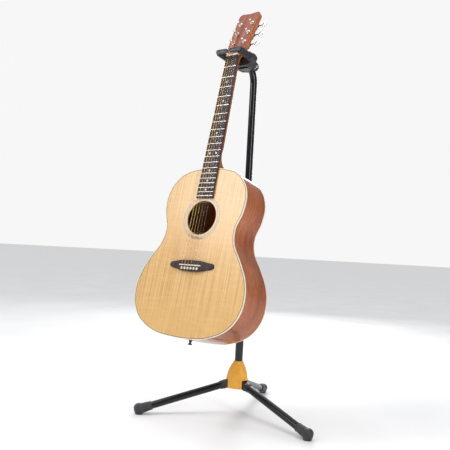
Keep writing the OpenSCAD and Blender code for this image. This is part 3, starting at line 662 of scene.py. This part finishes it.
def clutch():
    low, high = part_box("clutch_base")[0].z / MM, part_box("clutch_sleeve")[1].z / MM
    base = make("clutch_seat", *loft_data([facet_ring(14.6, low), facet_ring(15.4, low + 0.8), facet_ring(21.3, low + 8.6),
                                           facet_ring(21.6, low + 10.6), facet_ring(21.0, low + 11.9)]),
                SHAFT, CLUTCH, "hub", smooth=False)
    soften(base, 0.5, 2, 20)
    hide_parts("clutch_base")
    rings = [(21.0, low + 12.3), (22.0, low + 13.6), (22.0, high - 10.5), (21.5, high - 8.6), (14.4, high - 0.6),
             (13.2, high - 0.0)]
    sleeve = make("clutch_grip", *loft_data([facet_ring(r, z) for r, z in rings]), SHAFT, CLUTCH, "clutch", smooth=False)
    soften(sleeve, 0.55, 2, 20)
    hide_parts("clutch_sleeve")


def backrest():
    z = middle("backrest_collar").z / MM
    band = [(12.7, z - 12.4), (17.3, z - 13), (18, z - 12.2), (18, z - 8), (17.4, z - 7.2), (16.4, z - 6.8), (16.4, z + 6.8),
            (17.4, z + 7.2), (18, z + 8), (18, z + 12.2), (17.3, z + 13), (12.7, z + 12.4)]
    ribs = [moved(block_data((1.6, 2.4, 13), (0, -16.6, z)), place(rz=a)) for a in (48, 66, 84, 102, -48, -66, -84, -102)]
    ears = [block_data((5.6, 13.5, 18), (s * 4.2, 20.4, z)) for s in (-1, 1)]
    socket = moved(lathe_data([(7.7, 14), (9.4, 14), (10.6, 15), (10.6, 25.4), (10.1, 26.4), (7.7, 26.4)][::-1], 40, True),
                   place(0, 0, z, rx=90))
    collar = make("backrest_clamp", *merge(lathe_data(band, 64, True), *ribs, *ears, socket), SHAFT, ROOT_BLACK, "backrest")
    soften(collar, 0.7, 2)
    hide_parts("backrest_collar")
    # foam rollers: chamfered drums with a pinched inner end and a dimple where the bar's tip sits
    bar = middle("backrest_pads")
    profile = [(6.1, 4.9), (10.2, 5.0), (12.4, 5.6), (13.4, 7.2), (14.0, 10), (14.0, 36.5), (13.6, 39.4), (11.4, 42.8), (9.6, 43.9),
               (6.0, 43.9), (4.2, 43.2), (0.05, 42.9)]
    for name, turn in (("left", -90), ("right", 90)):
        verts, faces = lathe_data(spline(profile, 5), 72)
        pad = make(f"backrest_pad_{name}", verts, faces, Matrix.Translation(bar) @ Matrix.Rotation(math.radians(turn), 4, "Y"),
                   FOAM, "backrest")
        sharpen(pad, 50)
        if name == "left":
            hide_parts("backrest_pads")


clutch()
backrest()


# ---------- yoke ----------


def remeshed(obj, voxel, smooth):
    """Fuses overlapping solids into one skin and rounds it."""
    m = obj.modifiers.new("cast", "REMESH")
    m.mode, m.voxel_size, m.use_smooth_shade = "VOXEL", voxel * MM, True
    s = obj.modifiers.new("rounded", "SMOOTH")
    s.factor, s.iterations = 0.5, smooth
    return bake(obj)


def cradle():
    """The moulded U: a crowned back wall, two bosses for the arms and a body that narrows to the pivot."""
    cheek = [(12, -3), (12, 5), (6, 10), (-2, 12.6), (-40, 14), (-50, 14), (-50, -13), (-40, -17.5), (-10, -17.5), (4, -13)]
    wall = mirrored([(0, 20), (9, 19.6), (17, 16.4), (26, 14.2), (36, 15.5), (46, 16.8), (49.5, 12), (50.5, 4), (49.5, -4),
                     (45, -9), (33, -14), (22, -17.4), (0, -17.4)])
    n = len(cheek)
    parts = []
    for s in (-1, 1):                                           # side plates, wider where they meet the wall
        inner, outer = 15.5, 23.0
        v = []
        for k, x in enumerate((inner, outer)):
            for y, z in cheek:
                spread = max(0.0, (-26 - y) / 24) * (13 if k else 0)
                v.append((s * (x + spread), y, z))
        parts.append((v, [list(range(n)), list(range(2 * n - 1, n - 1, -1))]
                      + [[i, (i + 1) % n, n + (i + 1) % n, n + i] for i in range(n)]))
        boss = lathe_data([(0.01, 40), (12.6, 40), (13.1, 41), (13.1, 70.5), (12.2, 72), (0.01, 72)], 40)
        parts.append(moved(boss, place(s * ARM_X, 0, ARM_Z, rx=90)))
    parts.append(prism_data(wall, -57, -46.5))
    body = make("yoke_casting", *merge(*parts), CRADLE, YOKE, "cradle")
    remeshed(body, 0.85, 5)
    rods = []
    for s in (-1, 1):
        core = lathe_data([(0.01, 60), (6, 60), (6, 114), (9.7, 114.2), (10.5, 115), (10.5, 117.2), (9.8, 118), (0.01, 118)], 48)
        rods.append(moved(core, place(s * ARM_X, 0, ARM_Z, rx=90)))
    tips = make("yoke_arm_tips", *merge(*rods), CRADLE, YOKE, "cradle")
    sharpen(tips, 40)
    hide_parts("yoke_cradle")


def sleeves():
    near, far = -ARM_ROOT + 0.2, -ARM_TIP - 3.9
    for name, s in (("left", -1), ("right", 1)):
        profile = [(6.1, near), (9.4, near), (SLEEVE_R, near + 1.2), (SLEEVE_R - 0.15, (near + far) / 2), (SLEEVE_R, far - 1.4),
                   (9.6, far), (6.1, far)]
        data = moved(lathe_data(profile, 56, True), place(s * ARM_X, 0, ARM_Z, rx=90))
        sleeve = make(f"arm_sleeve_{name}", *data, CRADLE, FOAM, "cradle")
        soften(sleeve, 0.6, 2, 40)
        if s < 0:
            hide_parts("yoke_sleeves")


def gate(name, s):
    """A rounded link with a recessed pivot and a raised rim round its face."""
    big, small, length, thick = 7.0, 6.0, 29.0, 8.0
    q = math.acos((big - small) / length)
    angles = lambda a, b, n: [a + (b - a) * i / n for i in range(n + 1)]
    outline = ([(big * math.cos(t), big * math.sin(t)) for t in angles(q, 2 * math.pi - q, 26)]
               + [(length + small * math.cos(t), small * math.sin(t)) for t in angles(-q, q, 26)])
    outline = [(-s * x, z) for x, z in outline]
    n = len(outline)

    def ring(scale_in, y):
        """The outline drawn inward by scale_in at depth y."""
        p = np.array(outline)
        t = np.roll(p, -1, 0) - np.roll(p, 1, 0)
        t /= np.linalg.norm(t, axis=1)[:, None]
        v = np.stack([-t[:, 1], t[:, 0]], 1) * (-s)
        p = p + v * scale_in
        return [(x, y, z) for x, z in p]

    rings = [ring(1.4, 0.0), ring(0.5, -0.5), ring(0, -1.5), ring(0, -thick + 1.9), ring(0.5, -thick + 0.7), ring(1.5, -thick),
             ring(2.3, -thick), ring(2.7, -thick + 0.45)]
    data = loft_data(rings)
    eye = moved(lathe_data([(3.7, thick - 3.2), (3.9, thick - 0.3), (4.3, thick + 0.05), (5.3, thick + 0.05), (5.6, thick - 0.4),
                            (5.6, thick - 3.2)], 40, True), place(rx=90))
    at = CRADLE @ shift(s * ARM_X, ARM_TIP - 0.4, ARM_Z)
    link = make(f"gate_link_{name}", *data, at, GATE, f"gate_{name}")
    sharpen(link, 50)
    collar = make(f"gate_eye_{name}", *eye, at, GATE, f"gate_{name}")
    sharpen(collar, 40)
    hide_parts(f"gate_{name}")


def rivets():
    """Domed chrome rivets through the side plates, and the blackened pins that the gates turn on."""
    dome = [(0.02, 14.9), (1.9, 14.9), (1.9, 22.8), (3.1, 23.0), (3.15, 23.5), (2.5, 24.4), (1.3, 24.9), (0.02, 25.0)]
    heads = [moved(lathe_data(dome, 28), place(0, y, z, ry=90 * s)) for s in (-1, 1) for y, z in ((-14, 4), (-8, -9))]
    chrome = make("yoke_rivet_heads", *merge(*heads), CRADLE, CHROME, "cradle")
    pin = [(0.02, 108), (2.15, 108), (2.15, 123.6), (3.3, 123.7), (3.3, 125.4), (2.9, 126.0), (1.5, 125.9), (1.3, 125.2), (0.02, 125.2)]
    pins = [moved(lathe_data(pin, 32), place(s * ARM_X, 0, ARM_Z, rx=90)) for s in (-1, 1)]
    black = make("gate_pins", *merge(*pins), CRADLE, ROOT_BLACK, "cradle")
    for o in (chrome, black):
        sharpen(o, 40)
    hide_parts("yoke_rivets")


cradle()
rivets()
sleeves()
gate("left", -1)
gate("right", 1)


# ---------- guitar body ----------

BODY_HALF = [(0, 0), (48, 1.5), (96, 16), (129, 50), (142, 92), (137, 136), (123, 178), (129, 222), (158, 268), (183, 315),
             (193, 362), (184, 412), (150, 455), (84, 483), (0, 490)]
OUTLINE = [(x, JOINT_Z - z) for x, z in mirrored(spline(BODY_HALF, 8))]


def back_y(inner=0.0):
    """Depth of the back's face at (x, z), less a thickness."""
    return lambda x, z: DEPTH_NECK + (JOINT_Z - z) * (DEPTH_TAIL - DEPTH_NECK) / BODY_LEN - inner


def soundboard():
    """The top, with the soundhole as an inner loop seen from its own centre."""
    edge = inset(OUTLINE, 2.0)
    n = len(edge)
    loops = []
    for r, y in ((None, 0.0), (HOLE_R + 0.7, 0.0), (HOLE_R, 0.7), (HOLE_R, 2.6), (HOLE_R + 0.4, 3.0), (None, 3.0)):
        ring = []
        for x, z in edge:
            d = Vector((x, z - HOLE_Z))
            if r is not None:
                d = d.normalized() * r
            ring.append((d.x, y, HOLE_Z + d.y))
        loops.append(ring)
    verts, faces = loft_data(loops + [loops[0]], closed_ends=False)
    top = make("spruce_top", verts, faces, GUITAR, SPRUCE, "guitar")
    sharpen(top, 30)
    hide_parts("soundboard")


def band(name, outer, inner, low, high, material, slot, *nodes, width=0.5):
    obj = make(name, *ring_data(inset(OUTLINE, outer), inset(OUTLINE, inner), low, high), GUITAR, material, "guitar")
    if width:
        soften(obj, width, 2, 50)
    if nodes:
        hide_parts(*nodes)
    return obj


def body():
    soundboard()
    sides = band("rim_sides", 0.0, 2.2, 4.0, back_y(4.0), MAHOGANY, "mahogany", "body_sides", width=0)
    sharpen(sides, 50)
    band("binding_top", -0.25, 2.0, -0.05, 4.0, BONE, "bone", "body_binding")
    band("binding_back", -0.25, 2.0, back_y(4.0), back_y(0.0), BONE, "bone")
    band("purfling", 2.0, 3.3, -0.08, 0.4, TUNER_BLACK, "rosette_wood", width=0)
    plate = make("mahogany_back", *prism_data(inset(OUTLINE, 2.0), back_y(3.0), back_y(0.0)), GUITAR, MAHOGANY, "guitar")
    sharpen(plate, 30)
    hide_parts("body_back")
    # rosette, proud of the top by a hair
    circle = [(math.sin(a), math.cos(a)) for a in (2 * math.pi * i / 96 for i in range(96))]
    outer = [(x * (HOLE_R + 14), HOLE_Z + z * (HOLE_R + 14)) for x, z in circle]
    inner = [(x * (HOLE_R + 6), HOLE_Z + z * (HOLE_R + 6)) for x, z in circle]
    rose = make("rosette_rings", *ring_data(outer, inner, -0.07, 0.9), GUITAR, ROSETTE, "guitar")
    sharpen(rose, 40)
    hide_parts("rosette")


def bridge():
    """A belly bridge: thin wings, a raised middle and six pins; the saddle that stands in it is built with the nut."""
    wing = mirrored([(0, 15.6), (28, 15.2), (44, 13.2), (60, 10.8), (72, 9.6), (77, 6.5), (78, 1.5), (76.6, -4), (70, -7.4), (56, -9.6),
                     (40, -13.6), (22, -15.8), (0, -16.2)])
    wing = [(x, z - SCALE - 0.4) for x, z in wing]

    def face(x, z):
        k = min(1.0, max(0.0, (abs(x) - 40) / 14))
        return -9.0 + 5.4 * (k * k * (3 - 2 * k))

    n = len(wing)
    rows = [(0.0, 1.0), (0.55, 1.0), (0.85, 0.985), (1.0, 0.955)]
    rings = [[(x * g, face(x, z) * k, (z + SCALE) * g - SCALE) for x, z in wing] for k, g in rows]
    rings += [[(x * g, face(x * g, z), (z + SCALE) * g - SCALE) for x, z in wing] for g in (0.8, 0.6, 0.4, 0.2, 0.02)]
    block = make("belly_bridge", *loft_data(rings), GUITAR, ROSEWOOD, "guitar")
    sharpen(block, 40)
    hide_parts("bridge")
    pins, dots = [], []
    for i in range(6):
        x = 54 * (i / 5 - 0.5)
        head = lathe_data([(2.4, 6), (2.5, 9.2), (3.3, 9.6), (3.7, 10.4), (3.6, 11.2), (2.6, 12.0), (1.2, 12.2), (1.15, 12.05), (0.02, 12.05)], 28)
        pins.append(moved(head, place(x, 0, -SCALE - 9, rx=90)))
        dots.append(moved(lathe_data([(1.12, 11.8), (1.12, 12.18), (0.02, 12.26)], 20), place(x, 0, -SCALE - 9, rx=90)))
    heads = make("bridge_pin_heads", *merge(*pins), GUITAR, BONE, "guitar")
    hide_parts("bridge_pins")
    marks = make("bridge_pin_dots", *merge(*dots), GUITAR, TUNER_BLACK, "guitar")
    for o, slot in ((sharpen(heads, 35), "bone"), (sharpen(marks, 35), "rosette_wood")):
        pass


body()
bridge()


# ---------- neck and headstock ----------


def fret_z(n):
    return -SCALE * (1 - 2 ** (-n / 12))


def half_width(z):
    """Half the neck's width at z below the nut."""
    return 22 + 6 * z / fret_z(14)


HEAD_HALF = ([(22, 0)] + spline([(22, 0), (23.2, 7), (27.2, 14), (31.2, 20.5), (33.4, 28), (34.2, 37)], 5)[1:]
             + [(36.2, 95), (38, 150)]
             + [(27 + 11.4 * math.cos(a), 163 + 13 * math.sin(a)) for a in np.linspace(0, math.pi / 2, 9)]
             + spline([(27, 176), (20, 175.6), (12, 174.2), (0, 173)], 4)[1:])
HEAD_OUTLINE = mirrored([(0.0, 0.0)] + HEAD_HALF)


def headstock():
    core = make("headstock_core", *prism_data(HEAD_OUTLINE[::-1], VENEER_T, HEAD_T), HEAD, SIDE_WOOD, "guitar")
    soften(core, 1.1, 3, 40)
    above = [(x, z) for x, z in HEAD_OUTLINE if z > 0.45]
    face = make("headstock_face", *prism_data(above[::-1], 0.0, VENEER_T), HEAD, SAPELE, "guitar")
    soften(face, 0.5, 2, 40)
    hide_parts("headstock_veneer")


def neck():
    """The shaft's half-round back, deepening into the heel and running up into the headstock's throat."""

    def section(z, w, depth, squareness, pitch=0.0):
        """Half ring behind the fingerboard plane at height z; squareness 0 is an ellipse, 1 a slab."""
        ring = []
        for k in range(33):
            a = math.pi * k / 32
            c, s = math.cos(a), math.sin(a)
            p = 2 / (2 + 5 * squareness)
            x = w * math.copysign(abs(c) ** p, c)
            y = depth * abs(s) ** p
            v = rot_x(-pitch) @ Vector((x, y, 0))
            ring.append((v.x, v.y, z + v.z))
        return ring

    rings = []
    for t in np.linspace(0, 1, 13):                             # heel, from its foot up to the shaft
        z = JOINT_Z + 0.4 + 52 * t
        deep = 97 * (1 - t) ** 2.6 + 17 * (1 - (1 - t) ** 2.6)
        slim = (1 - t) ** 1.5
        w = half_width(z) * (1 - 0.05 * slim)
        ring = []
        for k in range(33):
            a = math.pi * k / 32
            c, s = math.cos(a), math.sin(a)
            taper = 1 - 0.42 * slim * abs(s) ** 0.8
            ring.append((w * taper * math.copysign(abs(c) ** (1 - 0.45 * slim), c), deep * abs(s) ** (1 - 0.35 * slim), z))
        rings.append(ring)
    for z in np.linspace(JOINT_Z + 60, -30, 16):
        rings.append(section(z, half_width(z), 15 + 2 * z / JOINT_Z, 0.12))
    for t in np.linspace(0, 1, 12)[1:]:                         # throat
        z = -30 + 34 * t
        pitch = HEAD_PITCH * max(0.0, (t - 0.72) / 0.28)
        rings.append(section(z, half_width(min(z, 0)) - 0.2 * t, 15 - 0.2 * t, 0.12 + 0.9 * t ** 2, pitch))
    into_head = GUITAR.inverted() @ HEAD
    last = []
    for k in range(33):                                         # a slab's section inside the headstock
        c, s = math.cos(math.pi * k / 32), math.sin(math.pi * k / 32)
        p = Vector((22.6 * math.copysign(abs(c) ** 0.3, c), VENEER_T + 0.2 + 13.2 * abs(s) ** 0.3, 9))
        last.append((into_head @ (p * MM)) / MM)
    rings.append(last)
    shaft = make("neck_shaft", *loft_data(rings), GUITAR, MAHOGANY, "guitar")
    sharpen(shaft, 45)
    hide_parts("neck")


def fingerboard():
    end = fret_z(20) - 6
    outline = [(-22, 0), (22, 0), (half_width(end), end), (-half_width(end), end)]
    verts, faces = prism_data(outline, -6, 0)
    board = make("rosewood_board", verts, faces, GUITAR, ROSEWOOD, "guitar")
    soften(board, 0.5, 2)
    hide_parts("fingerboard")


def nut_and_saddle():
    parts = [block_data((43.8, 8.3, 4.7), (0, -4.25, 2.55)), block_data((73.6, 7.6, 3.2), (0, -8.2, -SCALE))]
    both = make("nut_and_saddle_bone", *merge(*parts), GUITAR, BONE, "guitar")
    soften(both, 0.9, 4)
    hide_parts("nut_and_saddle")


headstock()
neck()
fingerboard()
nut_and_saddle()


# ---------- strings and tuners ----------

STRING_R = (0.67, 0.53, 0.41, 0.31, 0.2, 0.16)
POST_WAIST = 2.4


def string_path(i):
    """From the bridge pin over saddle and nut to the post, then wound down round its waist."""
    r = STRING_R[i]
    row, side = (i, -1) if i < 3 else (5 - i, 1)
    xs, xn = 54 * (i / 5 - 0.5), 36 * (i / 5 - 0.5)
    nut_y = -8.6 - r
    points = [Vector((xs, -9.2, -SCALE - 6.4)), Vector((xs, -12.0 - r, -SCALE - 0.6)), Vector((xs, -12.1 - r, -SCALE + 0.6)),
              Vector((xn, nut_y, 0.2)), Vector((xn, nut_y, NUT_T - 0.2))]
    to_guitar = GUITAR.inverted() @ HEAD
    inside = POST_WAIST + r + 0.12
    s = TUNER_S[row]
    wind = []
    turns, start = 2.6, math.pi if side > 0 else 0.0
    for k in range(int(turns * 20) + 1):
        a = start + side * -2 * math.pi * k / 20
        wind.append(Vector((side * TUNER_X[row] + inside * math.cos(a), -7.9 + 2 * r * k / 20 * 1.02 + r, s + inside * math.sin(a))))
    def out(p):
        return (to_guitar @ (p * MM)) / MM
    return points + [out(p) for p in wind]


def strings():
    wound = [tube_data(string_path(i), STRING_R[i], 10) for i in range(4)]
    plain = [tube_data(string_path(i), STRING_R[i], 8) for i in (4, 5)]
    thick = make("strings_wound", *merge(*wound), GUITAR, BRONZE, "guitar")
    thin = make("strings_plain", *merge(*plain), GUITAR, PLAIN, "guitar")
    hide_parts("strings")


def tuners():
    posts = [(0.02, -14.6), (3.0, -14.6), (3.0, 4.9), (2.4, 6.1), (2.3, 7.2), (2.4, 8.6), (3.0, 9.6), (3.0, 12.2), (2.6, 12.7), (0.02, 12.8)]
    washer = [(3.15, 0.02), (7.0, 0.02), (7.3, 0.5), (7.1, 1.2), (5.9, 1.9), (5.2, 2.6), (4.4, 3.3), (3.15, 3.4)]
    bushings, housings, covers = [], [], []
    for k in range(1, 7):
        row, side = (k - 1, -1) if k <= 3 else (6 - k, 1)
        x, s = side * TUNER_X[row], TUNER_S[row]
        post = make(f"string_post_{k}", *moved(lathe_data(posts, 32), place(x, 0, s, rx=90)), HEAD, CHROME, f"post_{k}")
        sharpen(post, 35)
        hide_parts(f"tuner_post_{k}")
        bushings.append(moved(lathe_data(washer, 40, True), place(x, 0, s, rx=90)))
        # closed gear case: a rounded box, and a nose for the knob's shaft
        housings.append(block_data((15.6, 10.6, 19.6), (x, HEAD_T + 5.7, s)))
        covers.append(moved(lathe_data([(2.35, 20 - 13), (4.4, 20 - 13), (4.4, 11.2), (3.9, 12), (2.35, 12)], 28, True),
                            place(x, HEAD_T + 5.6, s + 5, ry=90 * side)))
        # knob: stem, collar and a kidney-shaped button
        cx, y, z = side * 54.0, HEAD_T + 5.6, s + 5
        stem = lathe_data([(0.02, abs(x) + 4.6), (2.15, abs(x) + 4.6), (2.15, 42.6), (3.1, 43.2), (3.5, 44.6), (3.0, 46.2), (2.4, 47.2),
                           (2.4, 49.5), (0.02, 49.5)], 28)
        grip = []
        for u in np.linspace(0, math.pi, 17):
            ring = []
            for v in (2 * math.pi * q / 32 for q in range(32)):
                lobe = 1 + 0.10 * math.cos(2 * v)
                r = 8.4 * math.sin(u) ** 0.55
                flat = 3.4 * math.copysign(abs(math.cos(u)) ** 0.8, math.cos(u))
                ring.append((side * (54 + r * 0.84 * math.cos(v) * lobe), y + flat * (1 - 0.25 * (r / 8.4) ** 2), z + r * 1.16 * math.sin(v)))
            grip.append(ring)
        knob = make(f"tuner_button_{k}", *merge(moved(stem, place(0, y, z, ry=90 * side)), loft_data(grip)), HEAD, CHROME, f"knob_{k}")
        sharpen(knob, 50)
        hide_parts(f"tuner_knob_{k}")
    rings = make("tuner_bushing_rings", *merge(*bushings), HEAD, CHROME, "guitar")
    sharpen(rings, 35)
    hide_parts("tuner_bushings")
    cases = make("tuner_cases", *merge(*housings), HEAD, TUNER_BLACK, "guitar")
    soften(cases, 2.6, 5)
    noses = make("tuner_noses", *merge(*covers), HEAD, TUNER_BLACK, "guitar")
    sharpen(noses, 35)
    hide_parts("tuner_housings")


def end_pin():
    profile = [(5.2, 0), (5.2, 2.2), (4.4, 3.0), (3.5, 4.0), (3.4, 7.2), (4.6, 9.0), (6.6, 10), (7.0, 11), (6.7, 12), (4.5, 12.4), (0.02, 12.5)]
    at = GUITAR @ shift(0, 58, JOINT_Z - BODY_LEN - 0.1) @ rot_x(180)
    pin = make("strap_pin", *lathe_data(profile, 36), at, TUNER_BLACK, "guitar")
    sharpen(pin, 35)
    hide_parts("end_pin")


strings()
tuners()
end_pin()


# ---------- stage ----------


def floor():
    bpy.ops.mesh.primitive_circle_add(vertices=96, radius=60, fill_type="NGON")
    plane = bpy.context.object
    plane.name = "floor"
    plane.data.materials.append(pale_floor())


def area(name, at, towards, size, power, colour=(1, 1, 1)):
    light = bpy.data.lights.new(name, "AREA")
    light.shape, light.size, light.size_y = "RECTANGLE", *size
    light.energy, light.color = power, colour
    obj = bpy.data.objects.new(name, light)
    bpy.context.scene.collection.objects.link(obj)
    obj.location = at
    obj.rotation_euler = (Vector(towards) - Vector(at)).to_track_quat("-Z", "Y").to_euler()


def studio():
    world = bpy.data.worlds.new("studio")
    bpy.context.scene.world = world
    world.use_nodes = True
    nodes, links = world.node_tree.nodes, world.node_tree.links
    backdrop, fill = nodes["Background"], nodes.new("ShaderNodeBackground")
    backdrop.inputs["Color"].default_value = (1, 1, 1, 1)
    backdrop.inputs["Strength"].default_value = 0.93
    fill.inputs["Color"].default_value = (0.93, 0.95, 1, 1)
    fill.inputs["Strength"].default_value = 0.34
    choose, rays = nodes.new("ShaderNodeMixShader"), nodes.new("ShaderNodeLightPath")
    links.new(rays.outputs["Is Camera Ray"], choose.inputs[0])
    links.new(fill.outputs[0], choose.inputs[1])
    links.new(backdrop.outputs[0], choose.inputs[2])
    links.new(choose.outputs[0], nodes["World Output"].inputs["Surface"])
    bpy.context.scene.view_settings.view_transform = "Standard"
    aim = (0, -0.05, 0.65)
    area("key", (-1.7, -2.4, 2.6), aim, (1.0, 2.0), 44)
    area("side", (2.5, -1.1, 1.2), aim, (0.4, 2.4), 34)
    area("rear", (-1.2, 2.2, 1.8), aim, (0.8, 2.0), 30)
    sky = bpy.data.objects.new("overhead", bpy.data.lights.new("overhead", "SUN"))
    sky.data.energy, sky.data.angle = 1.5, math.radians(70)
    sky.rotation_euler = (math.radians(12), math.radians(-10), 0)
    bpy.context.scene.collection.objects.link(sky)


def camera():
    """The photograph's angle: low, 34 degrees to the right of the front, rolled a little."""
    azimuth, elevation, roll = (math.radians(a) for a in (34.0, -1.3, 3.1))
    distance, focal_px, frame_px, sensor = 1.81, 572.0, 450.0, 36.0
    target = Vector((SHAFT.translation.x, SHAFT.translation.y, 0.55))
    back = Vector((math.sin(azimuth) * math.cos(elevation), -math.cos(azimuth) * math.cos(elevation), math.sin(elevation)))
    right = Vector((math.cos(azimuth), math.sin(azimuth), 0))
    up = back.cross(right)
    x = math.cos(roll) * right + math.sin(roll) * up
    y = -math.sin(roll) * right + math.cos(roll) * up
    data = bpy.data.cameras.new("view")
    data.sensor_width, data.lens = sensor, focal_px / frame_px * sensor
    data.shift_x, data.shift_y = -0.045, 0.03
    data.clip_start = 0.05
    obj = bpy.data.objects.new("view", data)
    bpy.context.scene.collection.objects.link(obj)
    obj.matrix_world = basis(target + back * distance, x, y, back)
    bpy.context.scene.camera = obj


floor()
studio()
camera()
